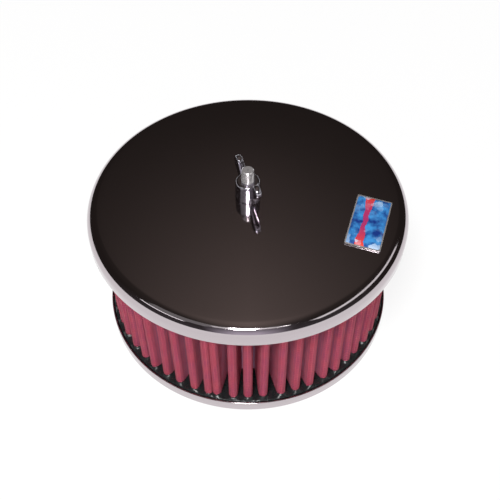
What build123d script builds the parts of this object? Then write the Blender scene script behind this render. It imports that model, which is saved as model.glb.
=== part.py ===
from build123d import *
import math
import os

# Round air filter with a pleated gauze element, in millimetres.
# +Z runs up the stud, and the origin is the centre of the base plate's underside.

# Lid
lid_sheet = 0.9
lid_overhang = 4.2
lid_shoulder_radius = 6.4
lid_side_height = 10.4
lid_crown = 2.7
lid_seat_radius = 8.0
stud_hole_clearance = 0.35

# Base plate
base_sheet = 0.9
base_rim_height = 7.9
base_corner_radius = 2.5
throat_height = 8.0
throat_bend_radius = 2.5

# Pleated element
element_height = 76.0
pleat_count = 56
pleat_depth = 19.0
fold_radius = 1.4
media_thickness = 1.3

# Moulded end rings of the element
seal_rim_clearance = 0.3
seal_lid_clearance = 0.15
seal_height = 7.1
seal_floor = 3.2
seal_inner_wall = 1.4
seal_outer_wall = 0.95
seal_corner_relief = 0.4
pleat_seat_clearance = 0.15

# Rubber bush in the throat
horn_radius = 33.35
horn_clearance = 0.1
bush_wall = 2.8
bush_fit = 0.15
bush_lip_width = 2.2
bush_lip_height = 2.0
bush_lead_in = 0.8

# Stud and its nuts
stud_radius = 3.175
stud_above_lid = 17.4
stud_end_chamfer = 0.6
stud_below_nut = 2.0
thread_clearance = 0.06
hex_across_flats = 11.1
hex_height = 5.5
hex_corner_drop = 0.6

# Bridge over the throat
bridge_thickness = 2.0
bridge_width = 16.0
bridge_height = 22.0
bridge_leg_gap = 2.5
bridge_foot_length = 8.0
bridge_foot_gap = 1.95
bridge_bend_radius = 2.6

# Wing nut
wing_angle = -68.0
nut_boss_radius = 6.4
nut_neck_radius = 6.1
nut_boss_height = 10.6
nut_boss_round = 1.4
wing_reach = 14.8
wing_height = 16.3
wing_thickness = 3.0
wing_root_low = 1.6
wing_root_high = 9.0
wing_tip_radius = 3.4
wing_edge_round = 0.9
nut_seat_gap = 0.05

# Badge on the lid
badge_width = 17.7
badge_length = 33.4
badge_thickness = 1.5
badge_corner_radius = 1.2
badge_dome_round = 0.7
badge_inset = 19.6
badge_angle = -16.8
badge_glue_gap = 0.05

# Radii, which run outwards from the carburettor's horn to the side of the lid
bush_bore_radius = horn_radius + horn_clearance
throat_radius = bush_bore_radius + bush_wall + bush_fit
bush_lip_radius = throat_radius + base_sheet + bush_lip_width
bridge_leg_x = bush_lip_radius + bridge_leg_gap
bridge_foot_end = bridge_leg_x + bridge_thickness + bridge_foot_length
seal_bore_radius = bridge_foot_end + bridge_foot_gap
seal_inner_wall_radius = seal_bore_radius + seal_inner_wall
pleat_root_radius = seal_inner_wall_radius + pleat_seat_clearance
pleat_tip_radius = pleat_root_radius + pleat_depth
seal_outer_wall_radius = pleat_tip_radius + pleat_seat_clearance
seal_radius = seal_outer_wall_radius + seal_outer_wall
base_radius = seal_radius + seal_rim_clearance + base_sheet
lid_radius = base_radius + lid_overhang
tapped_radius = stud_radius + thread_clearance
nut_wall_middle = (tapped_radius + nut_neck_radius) / 2

# Heights, which follow from the stack of pieces
element_top = base_sheet + element_height
lid_crown_radius = ((lid_radius - lid_seat_radius) ** 2 + lid_crown**2) / (2 * lid_crown)
lid_drop_at_seal = lid_crown_radius - math.sqrt(lid_crown_radius**2 - (seal_radius - lid_seat_radius) ** 2)
lid_top = element_top + seal_lid_clearance + lid_sheet + lid_drop_at_seal
lid_corner_height = lid_top - lid_crown
skirt_bottom = lid_corner_height - lid_side_height
bridge_under = base_sheet + bridge_height - bridge_thickness
bridge_over = base_sheet + bridge_height
stud_bottom = bridge_under - hex_height - stud_below_nut
stud_top = lid_top + stud_above_lid

# Folds of the pleats: each flank is the line that crosses between an outer and an inner fold
half_pitch = 180 / pleat_count
tip_centre_radius = pleat_tip_radius - fold_radius - media_thickness / 2
root_centre_radius = pleat_root_radius + fold_radius + media_thickness / 2
fold_run_x = root_centre_radius * math.cos(math.radians(half_pitch)) - tip_centre_radius
fold_run_y = root_centre_radius * math.sin(math.radians(half_pitch))
fold_run = math.hypot(fold_run_x, fold_run_y)
flank_normal = math.degrees(math.atan2(fold_run_y, fold_run_x) - math.acos(2 * fold_radius / fold_run))

os.makedirs("parts", exist_ok=True)


def save(piece, name):
    piece.part.label = name
    export_step(piece.part, f"parts/{name}.step")


def polar(radius, degrees):
    return (radius * math.cos(math.radians(degrees)), radius * math.sin(math.radians(degrees)))


def nearest_corner(sketch, x, y):
    return sketch.vertices().sort_by_distance((x, y, 0))[0]


# Lid: a shallow pressed cover, flat round the stud, crowned, with a rounded shoulder and a skirt
with BuildPart() as lid:
    with BuildSketch(Plane.XZ) as lid_section:
        with BuildLine():
            seat = Line((0, lid_top), (lid_seat_radius, lid_top))
            crown = TangentArc(seat @ 1, (lid_radius, lid_corner_height), tangent=(1, 0))
            skirt = Line(crown @ 1, (lid_radius, skirt_bottom))
            skirt_edge = Line(skirt @ 1, (lid_radius - lid_sheet, skirt_bottom))
            skirt_inside = Line(skirt_edge @ 1, (lid_radius - lid_sheet, lid_corner_height - lid_sheet))
            seat_inside = Line((lid_seat_radius, lid_top - lid_sheet), (0, lid_top - lid_sheet))
            TangentArc(seat_inside @ 0, skirt_inside @ 1, tangent=(1, 0))
            Line(seat_inside @ 1, seat @ 0)
        make_face()
        fillet(nearest_corner(lid_section, lid_radius, lid_corner_height), lid_shoulder_radius)
        fillet(
            nearest_corner(lid_section, lid_radius - lid_sheet, lid_corner_height - lid_sheet),
            lid_shoulder_radius - lid_sheet,
        )
    revolve(axis=Axis.Z)
    with Locations((0, 0, lid_top)):
        Hole(stud_radius + stud_hole_clearance)
save(lid, "lid")

# Base plate: a flat pan with an upturned rim outside and a collar drawn up round the throat
with BuildPart() as base_plate:
    with BuildSketch(Plane.XZ) as base_section:
        with BuildLine():
            Polyline(
                (base_radius, base_rim_height),
                (base_radius, 0),
                (throat_radius, 0),
                (throat_radius, throat_height),
                (throat_radius + base_sheet, throat_height),
                (throat_radius + base_sheet, base_sheet),
                (base_radius - base_sheet, base_sheet),
                (base_radius - base_sheet, base_rim_height),
                close=True,
            )
        make_face()
        fillet(nearest_corner(base_section, base_radius, 0), base_corner_radius)
        fillet(
            nearest_corner(base_section, base_radius - base_sheet, base_sheet),
            base_corner_radius - base_sheet,
        )
        fillet(nearest_corner(base_section, throat_radius, 0), throat_bend_radius)
        fillet(
            nearest_corner(base_section, throat_radius + base_sheet, base_sheet),
            throat_bend_radius - base_sheet,
        )
    revolve(axis=Axis.Z)
save(base_plate, "base_plate")


def pleat_outline(tip_fold, root_fold):
    """Closed line of one face of the folded sheet, from its radii at the outer and inner folds."""
    with BuildLine() as one_pleat:
        tip = CenterArc((tip_centre_radius, 0), tip_fold, -flank_normal, 2 * flank_normal)
        root_centre = polar(root_centre_radius, half_pitch)
        root = CenterArc(root_centre, root_fold, flank_normal + 180, -2 * (flank_normal - half_pitch))
        Line(tip @ 1, root @ 0)
        Line(root @ 1, (tip @ 0).rotate(Axis.Z, 2 * half_pitch))
    with BuildLine() as outline:
        with PolarLocations(0, pleat_count):
            add(one_pleat.line)
    return outline.edges()


# Filter media: gauze between two wire screens, folded as one sheet all the way round
large_fold = fold_radius + media_thickness / 2
small_fold = fold_radius - media_thickness / 2
outside_face = pleat_outline(large_fold, small_fold)
inside_face = pleat_outline(small_fold, large_fold)
with BuildPart() as filter_media:
    with BuildSketch(Plane.XY.offset(base_sheet + seal_floor)):
        make_face(outside_face)
        make_face(inside_face, mode=Mode.SUBTRACT)
    extrude(amount=element_height - 2 * seal_floor)
save(filter_media, "filter_media")


def valley_half_width(radius):
    """Half the gap between two neighbouring flanks, measured across the valley at this radius."""
    slant = math.radians(flank_normal - half_pitch)
    pleat_x, pleat_y = polar(tip_centre_radius, -half_pitch)
    to_flank = large_fold + math.cos(slant) * pleat_x + math.sin(slant) * pleat_y
    return (math.cos(slant) * radius - to_flank) / math.sin(slant)


# End rings: moulded round the pleat ends, with a web in each valley between two pleats.
# The lower ring lies in the base pan, and the upper one is its mirror image under the lid.
web_root = root_centre_radius + large_fold
web_end = (seal_outer_wall_radius + seal_radius) / 2
web_root_half = valley_half_width(web_root) - pleat_seat_clearance
web_end_half = valley_half_width(web_end) - pleat_seat_clearance
with BuildPart() as bottom_seal:
    with BuildSketch(Plane.XZ) as ring_section:
        with BuildLine():
            Polyline(
                (seal_bore_radius, base_sheet),
                (seal_radius, base_sheet),
                (seal_radius, base_sheet + seal_height),
                (seal_outer_wall_radius, base_sheet + seal_height),
                (seal_outer_wall_radius, base_sheet + seal_floor),
                (seal_inner_wall_radius, base_sheet + seal_floor),
                (seal_inner_wall_radius, base_sheet + seal_height),
                (seal_bore_radius, base_sheet + seal_height),
                close=True,
            )
        make_face()
        pan_corner = nearest_corner(ring_section, seal_radius, base_sheet)
        fillet(pan_corner, base_corner_radius - base_sheet + seal_corner_relief)
    revolve(axis=Axis.Z)
    with BuildSketch(Plane.XY.offset(base_sheet + seal_floor)):
        with PolarLocations(0, pleat_count, start_angle=half_pitch):
            Polygon(
                (web_root, web_root_half),
                (web_root, -web_root_half),
                (web_end, -web_end_half),
                (web_end, web_end_half),
                align=None,
            )
    extrude(amount=seal_height - seal_floor)
save(bottom_seal, "bottom_seal")

with BuildPart() as top_seal:
    mirror(bottom_seal.part, about=Plane.XY.offset(base_sheet + element_height / 2))
save(top_seal, "top_seal")

# Neck seal: a rubber bush in the throat, hung on the collar by its lip
with BuildPart() as neck_seal:
    with BuildSketch(Plane.XZ) as bush_section:
        with BuildLine():
            Polyline(
                (bush_bore_radius, base_sheet),
                (throat_radius - bush_fit, base_sheet),
                (throat_radius - bush_fit, throat_height + bush_fit),
                (bush_lip_radius, throat_height + bush_fit),
                (bush_lip_radius, throat_height + bush_fit + bush_lip_height),
                (bush_bore_radius, throat_height + bush_fit + bush_lip_height),
                close=True,
            )
        make_face()
        lip_corner = nearest_corner(bush_section, bush_lip_radius, throat_height + bush_lip_height)
        fillet(lip_corner, bush_lead_in)
        chamfer(nearest_corner(bush_section, throat_radius, base_sheet), bush_lead_in)
    revolve(axis=Axis.Z)
save(neck_seal, "neck_seal")

# Stud bridge: a strap bent to a hat section, with its feet welded to the pan beside the throat
with BuildPart() as stud_bridge:
    with BuildSketch(Plane.XZ) as bridge_section:
        with BuildLine() as bridge_line:
            FilletPolyline(
                (-bridge_foot_end + bridge_thickness / 2, base_sheet + bridge_thickness / 2),
                (-bridge_leg_x - bridge_thickness / 2, base_sheet + bridge_thickness / 2),
                (-bridge_leg_x - bridge_thickness / 2, bridge_over - bridge_thickness / 2),
                (bridge_leg_x + bridge_thickness / 2, bridge_over - bridge_thickness / 2),
                (bridge_leg_x + bridge_thickness / 2, base_sheet + bridge_thickness / 2),
                (bridge_foot_end - bridge_thickness / 2, base_sheet + bridge_thickness / 2),
                radius=bridge_bend_radius,
            )
            offset(amount=bridge_thickness / 2, side=Side.BOTH, kind=Kind.INTERSECTION)
        make_face(bridge_line.edges())
    extrude(amount=bridge_width / 2, both=True)
    with Locations((0, 0, bridge_over)):
        Hole(stud_radius + stud_hole_clearance)
save(stud_bridge, "stud_bridge")


def hex_nut(bottom):
    """Plain hexagon nut with its corners turned down to a cone at both faces."""
    corner_radius = hex_across_flats / math.sqrt(3)
    with BuildPart() as nut:
        with BuildSketch(Plane.XY.offset(bottom)):
            RegularPolygon(hex_across_flats / 2, 6, major_radius=False)
            Circle(tapped_radius, mode=Mode.SUBTRACT)
        extrude(amount=hex_height)
        with BuildSketch(Plane.XZ):
            with BuildLine():
                Polyline(
                    (0, bottom),
                    (hex_across_flats / 2, bottom),
                    (corner_radius, bottom + hex_corner_drop),
                    (corner_radius, bottom + hex_height - hex_corner_drop),
                    (hex_across_flats / 2, bottom + hex_height),
                    (0, bottom + hex_height),
                    close=True,
                )
            make_face()
        revolve(axis=Axis.Z, mode=Mode.INTERSECT)
    return nut


# Nuts at the bridge: one welded under the strap, one locked down on top of it
weld_nut = hex_nut(bridge_under - hex_height)
save(weld_nut, "weld_nut")
lock_nut = hex_nut(bridge_over)
save(lock_nut, "lock_nut")

# Stud: plain rod at the thread's outside diameter, chamfered at both ends
with BuildPart() as stud:
    with BuildSketch(Plane.XY.offset(stud_bottom)):
        Circle(stud_radius)
    extrude(amount=stud_top - stud_bottom)
    chamfer(stud.edges().filter_by(GeomType.CIRCLE), stud_end_chamfer)
save(stud, "stud")

# Wing nut: a stout boss with two upright ears, as it stands when the lid is clamped
nut_bottom = lid_top + nut_seat_gap
with BuildPart() as wing_nut:
    for ear_angle in (wing_angle, wing_angle + 180):
        ear_x = (*polar(1, ear_angle), 0)
        ear_side = (*polar(1, ear_angle - 90), 0)
        with BuildSketch(Plane(origin=(0, 0, nut_bottom), x_dir=ear_x, z_dir=ear_side)):
            with BuildLine():
                tip_centre = (wing_reach - wing_tip_radius, wing_height - wing_tip_radius)
                CenterArc(tip_centre, wing_tip_radius, 0, 360)
                Line((nut_wall_middle, wing_root_low), (nut_wall_middle, wing_root_high))
            make_hull()
        extrude(amount=wing_thickness / 2, both=True)
    fillet(wing_nut.faces().filter_by(Axis((0, 0, 0), ear_side)).edges(), wing_edge_round)
    with BuildSketch(Plane.XZ) as boss_section:
        with BuildLine():
            Polyline(
                (tapped_radius, nut_bottom),
                (nut_boss_radius, nut_bottom),
                (nut_neck_radius, nut_bottom + nut_boss_height),
                (tapped_radius, nut_bottom + nut_boss_height),
                close=True,
            )
        make_face()
        fillet(nearest_corner(boss_section, nut_neck_radius, nut_bottom + nut_boss_height), nut_boss_round)
    revolve(axis=Axis.Z)
save(wing_nut, "wing_nut")

# Badge: a small plate with a domed face, lying on the crown of the lid
badge_reach = lid_radius - badge_inset
badge_x, badge_y = polar(badge_reach, badge_angle)
badge_slope = (badge_reach - lid_seat_radius) / lid_crown_radius
badge_lean = math.sqrt(1 - badge_slope**2)
badge_height = lid_top - lid_crown_radius * (1 - badge_lean) + badge_glue_gap
badge_plane = Plane(
    origin=(badge_x, badge_y, badge_height),
    x_dir=(*polar(badge_lean, badge_angle), -badge_slope),
    z_dir=(*polar(badge_slope, badge_angle), badge_lean),
)
with BuildPart() as badge_plate:
    with BuildSketch(badge_plane):
        RectangleRounded(badge_width, badge_length, badge_corner_radius)
    extrude(amount=badge_thickness)
    badge_face = badge_plate.faces().sort_by(Axis(badge_plane.origin, badge_plane.z_dir))[-1]
    fillet(badge_face.edges(), badge_dome_round)
save(badge_plate, "badge_plate")
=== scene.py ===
import math
import random

import bpy
from mathutils import Matrix, Vector, kdtree, noise


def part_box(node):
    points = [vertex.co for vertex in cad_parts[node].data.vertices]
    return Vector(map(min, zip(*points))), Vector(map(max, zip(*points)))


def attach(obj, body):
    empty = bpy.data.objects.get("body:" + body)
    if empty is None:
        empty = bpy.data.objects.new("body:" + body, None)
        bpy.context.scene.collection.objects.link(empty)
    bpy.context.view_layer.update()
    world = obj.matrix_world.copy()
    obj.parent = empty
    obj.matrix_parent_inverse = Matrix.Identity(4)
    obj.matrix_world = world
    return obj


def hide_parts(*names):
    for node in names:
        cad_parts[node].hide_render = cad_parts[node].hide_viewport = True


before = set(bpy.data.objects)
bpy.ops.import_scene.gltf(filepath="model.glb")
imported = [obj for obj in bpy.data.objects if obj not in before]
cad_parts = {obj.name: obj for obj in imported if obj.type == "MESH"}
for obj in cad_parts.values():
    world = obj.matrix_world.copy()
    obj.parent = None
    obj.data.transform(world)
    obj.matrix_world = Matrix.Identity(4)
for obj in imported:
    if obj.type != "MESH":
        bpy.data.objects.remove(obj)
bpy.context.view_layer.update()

# Round air filter: chromed lid and pan, red pleated gauze between them, wing nut on a central stud.
# Lengths are in metres and the front, which faces the camera, is -Y.
MM = 0.001
touching = 0.001 * MM  # points closer than this are one

# Sizes read from the solids
lid_low, lid_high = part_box("lid")
pan_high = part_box("base_plate")[1]
media_low, media_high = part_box("filter_media")
ring_low, ring_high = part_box("bottom_seal")
bush_low, bush_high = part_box("neck_seal")
stud_low, stud_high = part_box("stud")
nut_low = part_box("wing_nut")[0]
lid_radius = lid_high.x
lid_top = lid_high.z
pan_radius = pan_high.x
pleat_tip_radius = media_high.x
ring_radius = ring_high.x
stud_radius = stud_high.x

# Pressed lid and pan
sheet = 0.9 * MM
lid_hole_radius = 3.525 * MM
lid_seat_radius = 8.0 * MM
lid_crown = 2.7 * MM
crown_radius = ((lid_radius - lid_seat_radius) ** 2 + lid_crown**2) / (2 * lid_crown)
lid_shoulder = 6.4 * MM
cut_edge = 0.3 * MM
pan_corner = 2.5 * MM
pan_rim_height = 7.9 * MM
pan_rim_round = sheet / 2
throat_radius = 36.4 * MM
throat_bend = 2.5 * MM

# Rubber bush in the throat
bush_bore_radius = 33.45 * MM
bush_wall_radius = 36.25 * MM
bush_lip_under = 8.15 * MM
bush_edge = 0.7 * MM

# Pleated gauze with its wire screen
pleat_count = 56
pleat_depth = 19.0 * MM
fold_radius = 1.4 * MM
media_thickness = 1.3 * MM
pleat_uneven = 0.4  # degrees that a crest may stand out of line
pleat_lean = 0.5  # degrees that its two ends may each be off
pleat_depth_spread = 0.7 * MM
pinch_angle = -14.0  # where the spacing slips, in degrees from the front
pinch_shift = 3.3
pinch_sharpness = 40
wire_radius = 0.12 * MM
wire_pitch = 1.6 * MM
wire_gap = 0.04 * MM
wire_sunk = 0.5 * MM

# Moulded ring round the pleat ends
ring_bore_radius = 53.95 * MM
ring_edge = 0.35 * MM
ring_relief = 2.0 * MM
meniscus_height = 1.5 * MM
meniscus_width = 0.8 * MM
meniscus_patch = 3.0 * MM
meniscus_uneven = 0.6

# Stud thread, 20 turns to the inch
thread_pitch = 1.27 * MM
thread_depth = 0.6 * MM
stud_chamfer = 0.7 * MM
stud_point = 0.42 * MM
stud_end_relief = 0.15 * MM
stud_centre_mark = 0.4 * MM

# Wing nut
wing_angle = -68.0
boss_radius = 6.4 * MM
boss_neck_radius = 6.1 * MM
boss_height = 10.6 * MM
boss_round = 1.4 * MM
boss_edge = 0.3 * MM
nut_clearance = 0.06 * MM
casting_grain = 0.16 * MM
wing_reach = 14.8 * MM
wing_height = 16.3 * MM
wing_thickness = 3.0 * MM
wing_tip_radius = 3.4 * MM
wing_edge_round = 0.9 * MM
wing_root_radius = 4.6 * MM
wing_root_height = 6.0 * MM
wing_root_spread = 1.3

# Badge on the lid
badge_width = 17.7 * MM
badge_length = 33.4 * MM
badge_thickness = 1.5 * MM
badge_angle = -16.8
badge_inset = 19.6 * MM
badge_border = 0.6 * MM
badge_plate = 0.6 * MM
badge_corner = 0.7 * MM
badge_edge = 0.12 * MM
badge_glue = 0.05 * MM

# Camera, from the fit to the photograph
camera_spot = Vector((0, -0.2804, 0.3699))
camera_aim = Vector((0.0010, -0.0192, 0.0604))
camera_lens = 57.96
camera_sensor = 36
lamp_aim = Vector((0, 0, 0.06))


def linear(hex_colour):
    """An sRGB hex colour as linear red, green, blue and alpha."""
    channels = [int(hex_colour[i : i + 2], 16) / 255 for i in (1, 3, 5)]
    return (*[c / 12.92 if c <= 0.04045 else ((c + 0.055) / 1.055) ** 2.4 for c in channels], 1)


def add_node(tree, kind, inputs=None, **settings):
    """One shader node with its own settings, and a value or a link for each input socket."""
    made = tree.nodes.new("ShaderNode" + kind)
    for name, value in settings.items():
        setattr(made, name, value)
    for socket, value in (inputs or {}).items():
        if isinstance(value, bpy.types.NodeSocket):
            tree.links.new(value, made.inputs[socket])
        else:
            made.inputs[socket].default_value = value
    return made


def new_material(name):
    """An empty material with its principled shader."""
    material = bpy.data.materials.new(name)
    material.use_nodes = True
    tree = material.node_tree
    return material, tree, tree.nodes["Principled BSDF"]


def polar(radius, degrees):
    return Vector((radius * math.cos(math.radians(degrees)), radius * math.sin(math.radians(degrees))))


# Materials


def chrome_plated_steel():
    """Polished chrome over pressed sheet: a dark mirror with faint wipe marks and a slightly wavy sheet."""
    smudge_size = 18 * MM
    wave_length = 30 * MM
    material, tree, shader = new_material("chrome_plated_steel")
    place = add_node(tree, "TexCoord").outputs["Object"]
    smudge = add_node(tree, "TexNoise", {"Vector": place, "Scale": 1 / smudge_size, "Detail": 5})
    gloss = add_node(
        tree,
        "MapRange",
        {"Value": smudge.outputs[0], "From Min": 0.35, "From Max": 0.75, "To Min": 0.05, "To Max": 0.13},
    )
    wave = add_node(tree, "TexNoise", {"Vector": place, "Scale": 1 / wave_length, "Detail": 1})
    bump = add_node(tree, "Bump", {"Strength": 0.25, "Distance": 0.06 * MM, "Height": wave.outputs[0]})
    # grey chrome with a slight pink tint, a painted reflection of red light bounced off the pleats
    shader.inputs["Base Color"].default_value = linear("#c2b9bd")
    shader.inputs["Metallic"].default_value = 1
    tree.links.new(gloss.outputs[0], shader.inputs["Roughness"])
    tree.links.new(bump.outputs[0], shader.inputs["Normal"])
    return material


def chrome_plated_casting():
    """Chrome over an unpolished casting: softer glints than on the sheet, with a faint pebbled skin."""
    pebble_size = 1.2 * MM
    material, tree, shader = new_material("chrome_plated_casting")
    place = add_node(tree, "TexCoord").outputs["Object"]
    skin = add_node(tree, "TexNoise", {"Vector": place, "Scale": 1 / pebble_size, "Detail": 3})
    gloss = add_node(tree, "MapRange", {"Value": skin.outputs[0], "To Min": 0.1, "To Max": 0.2})
    bump = add_node(tree, "Bump", {"Strength": 0.3, "Distance": 0.05 * MM, "Height": skin.outputs[0]})
    shader.inputs["Base Color"].default_value = linear("#d3d0d9")
    shader.inputs["Metallic"].default_value = 1
    tree.links.new(gloss.outputs[0], shader.inputs["Roughness"])
    tree.links.new(bump.outputs[0], shader.inputs["Normal"])
    return material


def zinc_plated_steel():
    """Zinc plate: a grey metal under a pale haze, with a satin, slightly mottled surface."""
    mottle_size = 4 * MM
    material, tree, shader = new_material("zinc_plated_steel")
    place = add_node(tree, "TexCoord").outputs["Object"]
    mottle = add_node(tree, "TexNoise", {"Vector": place, "Scale": 1 / mottle_size, "Detail": 4})
    colour = add_node(
        tree,
        "Mix",
        {0: mottle.outputs[0], 6: linear("#c3bfc0"), 7: linear("#e0dcdd")},
        data_type="RGBA",
    )
    gloss = add_node(tree, "MapRange", {"Value": mottle.outputs[0], "To Min": 0.16, "To Max": 0.34})
    shader.inputs["Metallic"].default_value = 0.74
    tree.links.new(colour.outputs[2], shader.inputs["Base Color"])
    tree.links.new(gloss.outputs[0], shader.inputs["Roughness"])
    return material


def oiled_cotton_gauze():
    """Open cotton weave soaked in red oil: streaked threads and darker gaps, with painted light that makes
    the valleys paler and cooler.
    """
    thread_spacing = 0.8 * MM  # coarser than real gauze, so that it shows
    patch_size = 7 * MM
    streak_width = 1.6 * MM
    streak_length = 14 * MM
    valley_radius = 63 * MM
    crest_radius = pleat_tip_radius - MM
    material, tree, shader = new_material("oiled_cotton_gauze")
    along = add_node(tree, "UVMap").outputs[0]
    place = add_node(tree, "TexCoord").outputs["Object"]
    # at scale 1 a wave texture repeats every tau / 20 units
    spun = {"Vector": along, "Scale": math.tau / 20 / thread_spacing, "Distortion": 0.6, "Detail": 1}
    warp = add_node(tree, "TexWave", spun, bands_direction="X")
    weft = add_node(tree, "TexWave", spun, bands_direction="Y")
    weave = add_node(tree, "Math", {0: warp.outputs[1], 1: weft.outputs[1]}, operation="MULTIPLY")
    patches = add_node(tree, "TexNoise", {"Vector": place, "Scale": 1 / patch_size, "Detail": 3})
    patch = add_node(tree, "MapRange", {"Value": patches.outputs[0], "From Min": 0.35, "From Max": 0.65})
    red = add_node(
        tree,
        "Mix",
        {0: patch.outputs[0], 6: linear("#a81d57"), 7: linear("#da4246")},
        data_type="RGBA",
    )
    stretch = (1 / streak_width, 1 / streak_length, 1)
    drawn = add_node(tree, "Mapping", {"Vector": along, "Scale": stretch})
    streaks = add_node(tree, "TexNoise", {"Vector": drawn.outputs[0], "Scale": 1, "Detail": 3})
    oil = add_node(
        tree,
        "MapRange",
        {"Value": streaks.outputs[0], "From Min": 0.3, "From Max": 0.6, "To Min": 0.35, "To Max": 1},
    )
    threads = add_node(tree, "MapRange", {"Value": weave.outputs[0], "To Min": 0.35, "To Max": 1})
    thread = add_node(tree, "Math", {0: threads.outputs[0], 1: oil.outputs[0]}, operation="MULTIPLY")
    woven = add_node(
        tree,
        "Mix",
        {0: thread.outputs[0], 6: linear("#6b1f3c"), 7: red.outputs[2]},
        data_type="RGBA",
    )
    # painted light: deep in the pleats the colour turns paler and cooler, standing in for fill light and
    # the wire screen's glimmer in the shaded valleys
    level = add_node(tree, "VectorMath", {0: place, 1: (1, 1, 0)}, operation="MULTIPLY")
    radius = add_node(tree, "VectorMath", {0: level.outputs[0]}, operation="LENGTH")
    depth = add_node(
        tree,
        "MapRange",
        {"Value": radius.outputs["Value"], "From Min": valley_radius, "From Max": crest_radius},
    )
    colour = add_node(
        tree,
        "Mix",
        {0: depth.outputs[0], 6: linear("#ac86a8"), 7: woven.outputs[2]},
        data_type="RGBA",
    )
    bump = add_node(tree, "Bump", {"Strength": 0.5, "Distance": 0.15 * MM, "Height": weave.outputs[0]})
    shader.inputs["Roughness"].default_value = 0.6
    shader.inputs["Specular IOR Level"].default_value = 0.3
    shader.inputs["Sheen Weight"].default_value = 0.1
    tree.links.new(colour.outputs[2], shader.inputs["Base Color"])
    tree.links.new(bump.outputs[0], shader.inputs["Normal"])
    return material


def aluminium_wire():
    """Fine drawn aluminium wire with a dull lacquer, tinted where the red oil has wetted it."""
    wet_patch_size = 6 * MM
    material, tree, shader = new_material("aluminium_wire")
    place = add_node(tree, "TexCoord").outputs["Object"]
    wet = add_node(tree, "TexNoise", {"Vector": place, "Scale": 1 / wet_patch_size, "Detail": 3})
    colour = add_node(
        tree,
        "Mix",
        {0: wet.outputs[0], 6: linear("#b03a58"), 7: linear("#d0707f")},
        data_type="RGBA",
    )
    shader.inputs["Metallic"].default_value = 0.7
    shader.inputs["Roughness"].default_value = 0.4
    tree.links.new(colour.outputs[2], shader.inputs["Base Color"])
    return material


def cast_urethane():
    """Black potting poured round the pleat ends: a wet-looking skin with small ripples and pits."""
    ripple_size = 2.5 * MM
    material, tree, shader = new_material("cast_urethane")
    place = add_node(tree, "TexCoord").outputs["Object"]
    ripple = add_node(tree, "TexNoise", {"Vector": place, "Scale": 1 / ripple_size, "Detail": 3})
    gloss = add_node(tree, "MapRange", {"Value": ripple.outputs[0], "To Min": 0.16, "To Max": 0.4})
    bump = add_node(tree, "Bump", {"Strength": 0.6, "Distance": 0.3 * MM, "Height": ripple.outputs[0]})
    shader.inputs["Base Color"].default_value = linear("#191b1c")
    tree.links.new(gloss.outputs[0], shader.inputs["Roughness"])
    tree.links.new(bump.outputs[0], shader.inputs["Normal"])
    return material


def moulded_rubber():
    """Black nitrile rubber from a blasted mould: matt, with a fine grain."""
    grain_size = 0.7 * MM
    material, tree, shader = new_material("moulded_rubber")
    place = add_node(tree, "TexCoord").outputs["Object"]
    grain = add_node(tree, "TexNoise", {"Vector": place, "Scale": 1 / grain_size, "Detail": 3})
    gloss = add_node(tree, "MapRange", {"Value": grain.outputs[0], "To Min": 0.5, "To Max": 0.72})
    bump = add_node(tree, "Bump", {"Strength": 0.4, "Distance": 0.08 * MM, "Height": grain.outputs[0]})
    shader.inputs["Base Color"].default_value = linear("#1c1c1d")
    tree.links.new(gloss.outputs[0], shader.inputs["Roughness"])
    tree.links.new(bump.outputs[0], shader.inputs["Normal"])
    return material


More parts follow.
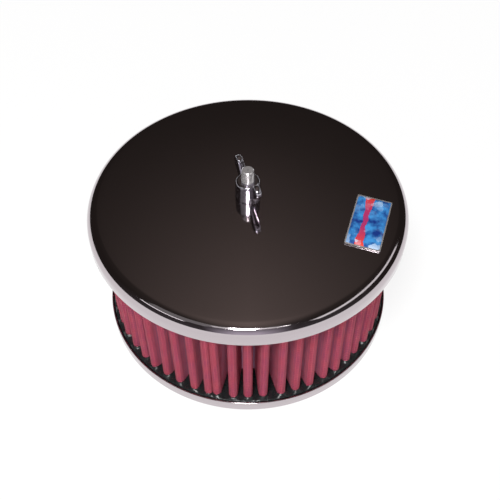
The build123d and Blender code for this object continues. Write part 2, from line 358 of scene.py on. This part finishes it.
def domed_resin_print():
    """Clear resin over crinkled foil: a mottled blue field, a waisted red band, and pale glints painted
    into the colour at the ends.
    """
    mottle_size = 4 * MM
    facet_size = 3 * MM
    band_place = 0.46
    band_waist = 0.07
    band_flare = 0.08
    band_ragged = 0.16
    material, tree, shader = new_material("domed_resin_print")
    place = add_node(tree, "TexCoord").outputs["Object"]
    spread = add_node(tree, "SeparateXYZ", {0: add_node(tree, "UVMap").outputs[0]})
    mottle = add_node(tree, "TexNoise", {"Vector": place, "Scale": 1 / mottle_size, "Detail": 4})
    tone = add_node(tree, "MapRange", {"Value": mottle.outputs[0], "From Min": 0.35, "From Max": 0.65})
    field = add_node(
        tree,
        "Mix",
        {0: tone.outputs[0], 6: linear("#16347c"), 7: linear("#3f8fd0")},
        data_type="RGBA",
    )
    along = add_node(tree, "Math", {0: spread.outputs[1], 1: 2, 2: -1}, operation="MULTIPLY_ADD")
    to_end = add_node(tree, "Math", {0: along.outputs[0], 1: along.outputs[0]}, operation="MULTIPLY")
    flared = {0: to_end.outputs[0], 1: band_flare, 2: band_waist}
    half_width = add_node(tree, "Math", flared, operation="MULTIPLY_ADD")
    torn = {0: mottle.outputs[0], 1: band_ragged, 2: -band_place}
    ragged = add_node(tree, "Math", torn, operation="MULTIPLY_ADD")
    across = add_node(tree, "Math", {0: spread.outputs[0], 1: ragged.outputs[0]})
    distance = add_node(tree, "Math", {0: across.outputs[0]}, operation="ABSOLUTE")
    edge = {0: distance.outputs[0], 1: half_width.outputs[0]}
    in_band = add_node(tree, "Math", edge, operation="LESS_THAN")
    band = add_node(
        tree,
        "Mix",
        {0: to_end.outputs[0], 6: linear("#a52f66"), 7: linear("#dc4630")},
        data_type="RGBA",
    )
    printed = add_node(
        tree,
        "Mix",
        {0: in_band.outputs[0], 6: field.outputs[2], 7: band.outputs[2]},
        data_type="RGBA",
    )
    # painted highlight: pale facets near the ends stand in for glints off the crinkled foil
    facets = add_node(tree, "TexVoronoi", {"Vector": place, "Scale": 1 / facet_size})
    bright = add_node(tree, "SeparateColor", {0: facets.outputs["Color"]})
    glint = add_node(tree, "MapRange", {"Value": bright.outputs[0], "From Min": 0.6, "To Max": 0.8})
    painted_glints = add_node(tree, "Math", {0: glint.outputs[0], 1: to_end.outputs[0]}, operation="MULTIPLY")
    colour = add_node(
        tree,
        "Mix",
        {0: painted_glints.outputs[0], 6: printed.outputs[2], 7: linear("#c6ddf2")},
        data_type="RGBA",
    )
    shader.inputs["Roughness"].default_value = 0.3
    shader.inputs["Coat Weight"].default_value = 1
    shader.inputs["Coat Roughness"].default_value = 0.04
    tree.links.new(colour.outputs[2], shader.inputs["Base Color"])
    return material


chrome = chrome_plated_steel()
cast_chrome = chrome_plated_casting()
zinc = zinc_plated_steel()
gauze = oiled_cotton_gauze()
wire = aluminium_wire()
urethane = cast_urethane()
rubber = moulded_rubber()
badge_print = domed_resin_print()


# Modelling


def finish_piece(piece, material, slot, *nodes, body="filter_body"):
    """Give a finished piece its material, its body and the solids that it stands for."""
    piece.data.materials.clear()
    piece.data.materials.append(material)
    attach(piece, body)
    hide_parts(*nodes)


def dress_solid(name, material):
    """Give a solid that keeps its own shape a better material."""
    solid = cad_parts[name]
    solid.data.materials.clear()
    solid.data.materials.append(material)


def pick(piece):
    """Select one piece alone, for the next operator."""
    bpy.ops.object.select_all(action="DESELECT")
    piece.select_set(True)
    bpy.context.view_layer.objects.active = piece


def apply_modifier(piece, kind, **settings):
    """Add a modifier with its settings and apply it."""
    pick(piece)
    modifier = piece.modifiers.new(kind.title(), kind)
    for name, value in settings.items():
        setattr(modifier, name, value)
    bpy.ops.object.modifier_apply(modifier=modifier.name)


def smooth(piece, degrees):
    """Shade a piece smooth, except at edges sharper than this."""
    pick(piece)
    bpy.ops.object.shade_smooth_by_angle(angle=math.radians(degrees))


def join(name, pieces):
    """Several meshes as one piece."""
    bpy.ops.object.select_all(action="DESELECT")
    for piece in pieces:
        piece.select_set(True)
    bpy.context.view_layer.objects.active = pieces[0]
    bpy.ops.object.join()
    pieces[0].name = name
    return pieces[0]


def arc(centre_radius, centre_height, radius, start, end, steps):
    """Points (radius, height) of a round stretch in a turned outline, between two angles in degrees."""
    angles = [math.radians(start + (end - start) * i / steps) for i in range(steps + 1)]
    return [(centre_radius + radius * math.cos(a), centre_height + radius * math.sin(a)) for a in angles]


def turned(name, outline, segments=192):
    """A closed outline of (radius, height) swept round the stud: a ring extruded from point to point."""
    bpy.ops.object.select_all(action="DESELECT")
    radius, height = outline[0]
    bpy.ops.mesh.primitive_circle_add(vertices=segments, radius=radius, location=(0, 0, height))
    piece = bpy.context.object
    piece.name = name
    bpy.ops.object.transform_apply(location=True)
    bpy.ops.object.mode_set(mode="EDIT")
    for next_radius, next_height in [*outline[1:], outline[0]]:
        bpy.ops.mesh.extrude_edges_move(TRANSFORM_OT_translate={"value": (0, 0, next_height - height)})
        grow = next_radius / radius
        bpy.ops.transform.resize(value=(grow, grow, 1), center_override=(0, 0, 0))
        radius, height = next_radius, next_height
    bpy.ops.mesh.select_all(action="SELECT")
    bpy.ops.mesh.remove_doubles(threshold=touching)
    bpy.ops.mesh.normals_make_consistent(inside=False)
    bpy.ops.object.mode_set(mode="OBJECT")
    smooth(piece, 35)
    return piece


def lid_face(inset, steps):
    """Outline of one face of the lid from its seat to its skirt, this far inside the outer face."""
    crown_height = lid_top - crown_radius
    shoulder_r = lid_radius - lid_shoulder
    shoulder_run = shoulder_r - lid_seat_radius
    shoulder_rise = math.sqrt((crown_radius - lid_shoulder) ** 2 - shoulder_run**2)
    meeting = math.degrees(math.atan2(shoulder_rise, shoulder_run))
    crown = arc(lid_seat_radius, crown_height, crown_radius - inset, 90, meeting, steps)
    shoulder = arc(shoulder_r, crown_height + shoulder_rise, lid_shoulder - inset, meeting, 0, steps)
    return [*crown, *shoulder[1:]]


def make_lid():
    """Lid: a shallow pressed cover with a crown, a rounded shoulder and a skirt."""
    lower_edge = lid_low.z + cut_edge
    outline = [
        (lid_hole_radius, lid_top - sheet),
        (lid_hole_radius, lid_top - cut_edge),
        (lid_hole_radius + cut_edge, lid_top),
        *lid_face(0, 20),
        *arc(lid_radius - cut_edge, lower_edge, cut_edge, 0, -90, 3),
        *arc(lid_radius - sheet + cut_edge, lower_edge, cut_edge, -90, -180, 3),
        *reversed(lid_face(sheet, 12)),
    ]
    finish_piece(turned("lid_cover", outline, 256), chrome, "chrome_plate", "lid")


def make_pan():
    """Base pan: flat, with an upturned rim outside and a collar drawn up round the throat."""
    collar_top = pan_high.z
    outline = [
        *arc(pan_radius - pan_corner, pan_corner, pan_corner, -90, 0, 8),
        *arc(pan_radius - pan_rim_round, pan_rim_height - pan_rim_round, pan_rim_round, 0, 90, 5),
        *arc(pan_radius - pan_rim_round, pan_rim_height - pan_rim_round, pan_rim_round, 90, 180, 5),
        *arc(pan_radius - pan_corner, pan_corner, pan_corner - sheet, 0, -90, 6),
        *arc(throat_radius + throat_bend, throat_bend, throat_bend - sheet, -90, -180, 6),
        (throat_radius + sheet, collar_top),
        (throat_radius, collar_top),
        *arc(throat_radius + throat_bend, throat_bend, throat_bend, -180, -90, 8),
    ]
    finish_piece(turned("base_pan", outline, 224), chrome, "chrome_plate", "base_plate")


def make_bush():
    """Neck seal: a rubber bush hung in the throat by its rounded lip."""
    lip_radius = bush_high.x
    outline = [
        (bush_bore_radius, bush_low.z + bush_edge),
        (bush_bore_radius + bush_edge, bush_low.z),
        (bush_wall_radius - bush_edge, bush_low.z),
        (bush_wall_radius, bush_low.z + bush_edge),
        (bush_wall_radius, bush_lip_under),
        *arc(lip_radius - bush_edge, bush_lip_under + bush_edge, bush_edge, -90, 0, 4),
        *arc(lip_radius - bush_edge, bush_high.z - bush_edge, bush_edge, 0, 90, 4),
        *arc(bush_bore_radius + bush_edge, bush_high.z - bush_edge, bush_edge, 90, 180, 4),
    ]
    finish_piece(turned("throat_bush", outline, 144), rubber, "neck_rubber", "neck_seal")


def crest_angles(sway):
    """Where each pleat's crest stands, in degrees from the front: uneven, and pinched in one place."""
    uneven = random.Random(5)
    slip = random.Random(11)
    crests = []
    for i in range(pleat_count):
        angle = 360 * i / pleat_count - 180
        behind = max(0, pinch_angle - angle) / (180 + pinch_angle)
        shift = pinch_shift * min(1, behind * pinch_sharpness) * (1 - behind)
        off_line = uneven.uniform(-pleat_uneven, pleat_uneven)
        lean = sway * slip.uniform(-pleat_lean, pleat_lean)
        crests.append(angle + shift + off_line + lean)
    return crests


def fold_line(offset, sway, tip_steps, root_steps):
    """Closed line (x, y) along the folded sheet, this far outside the sheet's middle."""
    depth = random.Random(3)
    tip_reach = pleat_tip_radius - fold_radius - media_thickness / 2
    root_reach = pleat_tip_radius - pleat_depth + fold_radius + media_thickness / 2
    crests = crest_angles(sway)
    centres = []
    for i, crest in enumerate(crests):
        following = crests[(i + 1) % pleat_count] + 360 * (i == pleat_count - 1)
        centres.append(polar(tip_reach - depth.uniform(0, pleat_depth_spread), crest - 90))
        centres.append(polar(root_reach, (crest + following) / 2 - 90))
    headings = []
    for k, centre in enumerate(centres):
        run = centres[(k + 1) % len(centres)] - centre
        swing = math.asin(2 * fold_radius / run.length)
        headings.append(math.atan2(run.y, run.x) + (swing if k % 2 == 0 else -swing))
    line = []
    for k, centre in enumerate(centres):
        is_tip = k % 2 == 0
        turn = (headings[k] - headings[k - 1]) % math.tau
        start = headings[k - 1] + (-math.pi / 2 if is_tip else math.pi / 2)
        radius = fold_radius + (offset if is_tip else -offset)
        steps = tip_steps if is_tip else root_steps
        sweep = turn if is_tip else turn - math.tau
        for j in range(steps + 1):
            angle = start + sweep * j / steps
            line.append(centre + radius * Vector((math.cos(angle), math.sin(angle))))
    return line


def make_pleats():
    """Filter media: gauze folded all the way round, each pleat leaning a little its own way."""
    foot = fold_line(0, -1, 8, 5)
    head = fold_line(0, 1, 8, 5)
    bpy.ops.object.select_all(action="DESELECT")
    bpy.ops.mesh.primitive_circle_add(vertices=len(foot), radius=pleat_tip_radius)
    piece = bpy.context.object
    piece.name = "pleated_gauze"
    bpy.ops.object.mode_set(mode="EDIT")
    rise = media_high.z - media_low.z
    bpy.ops.mesh.extrude_edges_move(TRANSFORM_OT_translate={"value": (0, 0, rise)})
    bpy.ops.object.mode_set(mode="OBJECT")
    mesh = piece.data
    for vertex in mesh.vertices:
        line, height = (foot, media_low.z) if vertex.co.z < rise / 2 else (head, media_high.z)
        vertex.co = (*line[vertex.index % len(foot)], height)
    lengths = [0]
    for a, b in zip(foot, [*foot[1:], foot[0]]):
        lengths.append(lengths[-1] + (b - a).length)
    layer = mesh.uv_layers.new(name="along_fold")
    for face in mesh.polygons:
        columns = [mesh.loops[i].vertex_index % len(foot) for i in face.loop_indices]
        wraps = max(columns) - min(columns) > 1
        for i, column in zip(face.loop_indices, columns):
            along = lengths[-1] if wraps and column == 0 else lengths[column]
            layer.data[i].uv = (along, mesh.vertices[mesh.loops[i].vertex_index].co.z)
    bpy.ops.object.mode_set(mode="EDIT")
    bpy.ops.mesh.select_all(action="SELECT")
    bpy.ops.mesh.normals_make_consistent(inside=False)
    bpy.ops.object.mode_set(mode="OBJECT")
    apply_modifier(piece, "SOLIDIFY", thickness=media_thickness, offset=0)
    smooth(piece, 50)
    finish_piece(piece, gauze, "oiled_gauze", "filter_media")


def make_screen():
    """Outer wire screen: fine wires round the folds and up them, lying on the gauze."""
    off_sheet = media_thickness / 2 + wire_radius + wire_gap
    foot = fold_line(off_sheet, -1, 5, 2)
    head = fold_line(off_sheet, 1, 5, 2)
    curve = bpy.data.curves.new("wire_screen", "CURVE")
    curve.dimensions = "3D"
    curve.bevel_depth = wire_radius
    curve.bevel_resolution = 0

    def add_wire(points, closed):
        spline = curve.splines.new("POLY")
        spline.points.add(len(points) - 1)
        for target, point in zip(spline.points, points):
            target.co = (*point, 1)
        spline.use_cyclic_u = closed

    bottom = ring_high.z - wire_sunk
    top = media_high.z - (bottom - media_low.z)
    height = media_high.z - media_low.z
    for row in range(int((top - bottom) / wire_pitch)):
        level = bottom + (row + 0.5) * wire_pitch
        share = (level - media_low.z) / height
        add_wire([(*a.lerp(b, share), level) for a, b in zip(foot, head)], True)
    spare = 0
    for i in range(len(foot)):
        run_foot = foot[(i + 1) % len(foot)] - foot[i]
        run_head = head[(i + 1) % len(head)] - head[i]
        while spare < run_foot.length:
            share = spare / run_foot.length
            low = foot[i] + run_foot * share
            high = head[i] + run_head * share
            add_wire([(*low, media_low.z), (*high, media_high.z)], False)
            spare += wire_pitch
        spare -= run_foot.length
    piece = bpy.data.objects.new("wire_screen", curve)
    bpy.context.collection.objects.link(piece)
    pick(piece)
    bpy.ops.object.convert(target="MESH")
    smooth(piece, 100)
    finish_piece(piece, wire, "oiled_gauze")


def make_ring():
    """Lower end ring: potting that has crept a little way up every pleat before it set."""
    base = ring_low.z
    level = ring_high.z
    stations = 22
    outer = ring_radius - ring_edge
    top = [(outer - (outer - ring_bore_radius) * i / stations, level) for i in range(stations + 1)]
    outline = [
        (ring_bore_radius, base),
        *arc(ring_radius - ring_relief, base + ring_relief, ring_relief, -90, 0, 4),
        *arc(outer, level - ring_edge, ring_edge, 0, 90, 5)[:-1],
        *top,
    ]
    piece = turned("lower_potting", outline, pleat_count * 14)
    line = fold_line(0, -1, 10, 6)
    spacing = 0.4 * MM
    dense = []
    for a, b in zip(line, [*line[1:], line[0]]):
        pieces = max(1, int((b - a).length / spacing))
        dense.extend(a.lerp(b, i / pieces) for i in range(pieces))
    tree = kdtree.KDTree(len(dense))
    for i, point in enumerate(dense):
        tree.insert((*point, 0), i)
    tree.balance()
    for vertex in piece.data.vertices:
        if vertex.co.z < level - touching:
            continue
        from_sheet = tree.find((vertex.co.x, vertex.co.y, 0))[2] - media_thickness / 2
        creep = 1 + meniscus_uneven * noise.noise(vertex.co / meniscus_patch)
        vertex.co.z += creep * meniscus_height * math.exp(-max(from_sheet, 0) / meniscus_width)
    smooth(piece, 60)
    finish_piece(piece, urethane, "potting_urethane", "bottom_seal")


def make_stud():
    """Stud: a rolled thread along its whole length, with a turned point at each end."""
    root = stud_radius - thread_depth
    first = stud_low.z + stud_chamfer
    turns = math.floor((stud_high.z - stud_chamfer - first) / thread_pitch) - 1
    # one turn of the thread: root, flank, crest and flank, as a radius and a share of the pitch
    profile = [(root, 0), (root, 0.12), (stud_radius, 0.5), (stud_radius, 0.64), (root, 1)]
    mesh = bpy.data.meshes.new("stud_thread")
    mesh.from_pydata(
        [(r, 0, first + share * thread_pitch) for r, share in profile],
        [(i, i + 1) for i in range(len(profile) - 1)],
        [],
    )
    thread = bpy.data.objects.new("stud_thread", mesh)
    bpy.context.collection.objects.link(thread)
    apply_modifier(
        thread,
        "SCREW",
        screw_offset=thread_pitch,
        iterations=turns,
        steps=32,
        render_steps=32,
        use_merge_vertices=True,
        merge_threshold=touching,
    )
    end_radius = stud_radius - stud_end_relief
    core = [
        (stud_centre_mark, stud_low.z),
        (root - stud_point, stud_low.z),
        (root, stud_low.z + stud_point),
        (root, stud_high.z - 2 * stud_chamfer),
        (end_radius, stud_high.z - 1.6 * stud_chamfer),
        (end_radius, stud_high.z - stud_point),
        (end_radius - stud_point, stud_high.z),
        (stud_centre_mark, stud_high.z),
    ]
    rod = turned("stud_core", core, 48)
    smooth(thread, 25)
    finish_piece(join("threaded_stud", [rod, thread]), zinc, "zinc_steel", "stud")


def make_ear(turn):
    """One ear of the wing nut: a disc at the tip, drawn back and down into the boss, with round edges."""
    tip = Vector((wing_reach - wing_tip_radius, 0, nut_low.z + wing_height - wing_tip_radius))
    root = Vector((wing_root_radius, 0, nut_low.z + wing_root_height))
    bpy.ops.object.select_all(action="DESELECT")
    bpy.ops.mesh.primitive_cylinder_add(
        vertices=48,
        radius=wing_tip_radius,
        depth=wing_thickness,
        location=tip,
        rotation=(math.pi / 2, 0, 0),
    )
    ear = bpy.context.object
    bpy.ops.object.transform_apply()
    inwards = (root - tip).normalized()
    bpy.ops.object.mode_set(mode="EDIT")
    bpy.ops.mesh.select_mode(type="FACE")
    bpy.ops.mesh.select_all(action="DESELECT")
    bpy.ops.object.mode_set(mode="OBJECT")
    for face in ear.data.polygons:
        face.select = face.normal.dot(inwards) > 0.05
    bpy.ops.object.mode_set(mode="EDIT")
    bpy.ops.mesh.extrude_region_move(TRANSFORM_OT_translate={"value": root - tip})
    bpy.ops.transform.resize(value=(0, 1, wing_root_spread), center_override=root)
    bpy.ops.object.mode_set(mode="OBJECT")
    apply_modifier(
        ear,
        "BEVEL",
        width=wing_edge_round,
        segments=4,
        limit_method="ANGLE",
        angle_limit=math.radians(60),
        use_clamp_overlap=False,
    )
    ear.rotation_euler.z = math.radians(turn)
    bpy.ops.object.transform_apply()
    return ear


def make_wing_nut():
    """Wing nut: a stout boss with two upright ears, cast in one with soft inner corners."""
    bottom = nut_low.z
    bore = stud_radius + nut_clearance
    top = bottom + boss_height
    outline = [
        (bore, bottom),
        (boss_radius - boss_edge, bottom),
        (boss_radius, bottom + boss_edge),
        *arc(boss_neck_radius - boss_round, top - boss_round, boss_round, 0, 90, 6),
        (bore, top),
    ]
    boss = turned("wing_nut_boss", outline, 72)
    nut = join("cast_wing_nut", [boss, make_ear(wing_angle), make_ear(wing_angle + 180)])
    apply_modifier(nut, "REMESH", mode="VOXEL", voxel_size=casting_grain)
    apply_modifier(nut, "SMOOTH", factor=0.5, iterations=6)
    smooth(nut, 60)
    finish_piece(nut, cast_chrome, "chrome_plate", "wing_nut", body="wing_nut")


def badge_place():
    """Where the badge lies: on the slope of the lid, a film of glue above it."""
    reach = lid_radius - badge_inset
    slope = math.asin((reach - lid_seat_radius) / crown_radius)
    height = lid_top - crown_radius * (1 - math.cos(slope)) + badge_glue
    spot = Matrix.Translation((*polar(reach, badge_angle), height))
    turn = Matrix.Rotation(math.radians(badge_angle), 4, "Z") @ Matrix.Rotation(slope, 4, "Y")
    return spot @ turn


def make_badge_plate():
    """Back of the badge: a thin bright plate with rounded corners."""
    bpy.ops.object.select_all(action="DESELECT")
    bpy.ops.mesh.primitive_plane_add(size=1)
    plate = bpy.context.object
    plate.scale = (badge_width, badge_length, 1)
    bpy.ops.object.transform_apply()
    bpy.ops.object.mode_set(mode="EDIT")
    bpy.ops.mesh.bevel(offset=badge_corner, segments=4, affect="VERTICES")
    bpy.ops.mesh.select_all(action="SELECT")
    bpy.ops.mesh.extrude_region_move(TRANSFORM_OT_translate={"value": (0, 0, badge_plate)})
    bpy.ops.mesh.select_all(action="SELECT")
    bpy.ops.mesh.normals_make_consistent(inside=False)
    bpy.ops.object.mode_set(mode="OBJECT")
    apply_modifier(plate, "BEVEL", width=badge_edge, segments=2)
    plate.name = "badge_back"
    plate.data.transform(badge_place())
    smooth(plate, 40)
    finish_piece(plate, zinc, "badge_resin", "badge_plate")


def make_badge_face():
    """Front of the badge: a print under clear resin, flat in the middle and steep at its edges."""
    rim_sunk = 0.05 * MM
    bpy.ops.object.select_all(action="DESELECT")
    bpy.ops.mesh.primitive_grid_add(x_subdivisions=20, y_subdivisions=36, size=1)
    face = bpy.context.object
    face.name = "badge_face"
    layer = face.data.uv_layers.active
    for loop in face.data.loops:
        place = face.data.vertices[loop.vertex_index].co
        layer.data[loop.index].uv = (place.x + 0.5, place.y + 0.5)
    for vertex in face.data.vertices:
        across, along = 2 * abs(vertex.co.x), 2 * abs(vertex.co.y)
        dome = math.sqrt((1 - across**5) * (1 - along**9))
        vertex.co.x *= badge_width - 2 * badge_border
        vertex.co.y *= badge_length - 2 * badge_border
        vertex.co.z = badge_plate - rim_sunk + (badge_thickness - badge_plate) * dome
    face.data.transform(badge_place())
    smooth(face, 60)
    finish_piece(face, badge_print, "badge_resin")


make_lid()
make_pan()
make_bush()
make_pleats()
make_screen()
make_ring()
make_stud()
make_wing_nut()
make_badge_plate()
make_badge_face()
dress_solid("top_seal", urethane)
for name in ("stud_bridge", "weld_nut", "lock_nut"):
    dress_solid(name, zinc)


# Stage


def make_floor():
    """Plain white paper floor: near white to the eye and in the chrome, with the shadow kept faint."""
    floor_size = 12
    white_share = 0.85
    bpy.ops.object.select_all(action="DESELECT")
    bpy.ops.mesh.primitive_plane_add(size=floor_size)
    floor = bpy.context.object
    floor.name = "studio_floor"
    material, tree, shader = new_material("pale_floor")
    shader.inputs["Base Color"].default_value = linear("#f6f6f6")
    shader.inputs["Roughness"].default_value = 0.9
    ray = add_node(tree, "LightPath").outputs
    seen = add_node(tree, "Math", {0: ray["Is Camera Ray"], 1: ray["Is Glossy Ray"]}, operation="MAXIMUM")
    shown = add_node(tree, "Math", {0: seen.outputs[0], 1: ray["Is Transmission Ray"]}, operation="MAXIMUM")
    share = add_node(tree, "Math", {0: shown.outputs[0], 1: white_share}, operation="MULTIPLY")
    white = add_node(tree, "Emission", {"Strength": 1})
    mixed = add_node(tree, "MixShader", {0: share.outputs[0], 1: shader.outputs[0], 2: white.outputs[0]})
    tree.links.new(mixed.outputs[0], tree.nodes["Material Output"].inputs["Surface"])
    floor.data.materials.append(material)


def make_world():
    """Dim studio with a warm ceiling and a pale wall in front, which the camera sees as plain white."""
    ambient = 0.022
    ceiling_middle = 0.18
    ceiling_sides = 0.02
    wall_strength = 0.7
    wall_top = 0.75
    world = bpy.data.worlds.new("studio")
    bpy.context.scene.world = world
    world.use_nodes = True
    tree = world.node_tree
    way = add_node(tree, "SeparateXYZ", {0: add_node(tree, "TexCoord").outputs["Generated"]})
    climb = add_node(tree, "MapRange", {"Value": way.outputs[2], "From Min": 0.5, "From Max": 1})
    ceiling = add_node(tree, "Math", {0: climb.outputs[0], 1: 2}, operation="POWER")
    aside = add_node(tree, "Math", {0: way.outputs[0]}, operation="ABSOLUTE")
    middle = add_node(
        tree,
        "MapRange",
        {"Value": aside.outputs[0], "From Max": 0.4, "To Min": ceiling_middle, "To Max": ceiling_sides},
    )
    lit = {0: ceiling.outputs[0], 1: middle.outputs[0], 2: ambient}
    glow = add_node(tree, "Math", lit, operation="MULTIPLY_ADD")
    upwards = add_node(tree, "MapRange", {"Value": way.outputs[2], "From Max": wall_top})
    faded = add_node(tree, "Math", {0: upwards.outputs[0], 1: 2}, operation="POWER")
    low = add_node(tree, "MapRange", {"Value": faded.outputs[0], "To Min": wall_strength, "To Max": 0})
    ahead = add_node(
        tree,
        "MapRange",
        {"Value": way.outputs[1], "From Min": -0.6, "From Max": 0, "To Min": 1, "To Max": 0},
    )
    narrow = add_node(
        tree,
        "MapRange",
        {"Value": aside.outputs[0], "From Min": 0.1, "From Max": 0.42, "To Min": 1, "To Max": 0.05},
    )
    band = add_node(tree, "Math", {0: low.outputs[0], 1: narrow.outputs[0]}, operation="MULTIPLY")
    wall = add_node(tree, "Math", {0: band.outputs[0], 1: ahead.outputs[0]}, operation="MULTIPLY")
    warm = tree.nodes["Background"]
    warm.inputs["Color"].default_value = linear("#ffe8dc")
    tree.links.new(glow.outputs[0], warm.inputs["Strength"])
    pale = add_node(tree, "Background", {"Color": linear("#f6eeff"), "Strength": wall.outputs[0]})
    both = add_node(tree, "AddShader", {0: warm.outputs[0], 1: pale.outputs[0]})
    white = add_node(tree, "Background", {"Color": linear("#ffffff"), "Strength": 1})
    seen = add_node(tree, "LightPath").outputs["Is Camera Ray"]
    shown = add_node(tree, "MixShader", {0: seen, 1: both.outputs[0], 2: white.outputs[0]})
    tree.links.new(shown.outputs[0], tree.nodes["World Output"].inputs["Surface"])


def make_softbox(name, azimuth, elevation, distance, width, height, power):
    """A soft box aimed at the filter: degrees to the right of the front and up, metres, and watts."""
    level = distance * math.cos(math.radians(elevation))
    rise = distance * math.sin(math.radians(elevation))
    spot = lamp_aim + Vector((*polar(level, azimuth - 90), rise))
    bpy.ops.object.light_add(type="AREA", location=spot)
    lamp = bpy.context.object
    lamp.name = name
    lamp.rotation_euler = (lamp_aim - spot).to_track_quat("-Z", "Y").to_euler()
    lamp.data.shape = "RECTANGLE"
    lamp.data.size = width
    lamp.data.size_y = height
    lamp.data.energy = power
    return lamp


def make_camera():
    """Camera as in the photograph: in front of the filter, 46 degrees up from the middle of the lid."""
    bpy.ops.object.camera_add(location=camera_spot)
    camera = bpy.context.object
    camera.rotation_euler = (camera_aim - camera_spot).to_track_quat("-Z", "Y").to_euler()
    camera.data.sensor_width = camera_sensor
    camera.data.lens = camera_lens
    camera.data.clip_start = 0.01
    bpy.context.scene.camera = camera


make_floor()
make_world()
# name, azimuth, elevation, distance, width, height, power
key = make_softbox("key_softbox", -24, 59, 3.0, 0.6, 0.5, 77)
key.visible_glossy = False  # shades the pleats under the lid, with no second glint in the chrome
make_softbox("front_softbox", -3, 46, 3.0, 0.55, 0.6, 46)
make_softbox("right_spot", 26, 46, 3.0, 0.1, 0.1, 0.3)
make_softbox("front_panel", 0, 48, 3.0, 1.85, 0.45, 2)
make_softbox("left_panel", -54, 31, 1.2, 0.55, 0.08, 0.24)
make_softbox("left_wall", -46, 45, 1.2, 0.7, 0.4, 0.17)
make_softbox("right_window", 78, 38, 1.2, 1.4, 0.24, 1.0)
make_camera()
bpy.context.scene.view_settings.view_transform = "Standard"
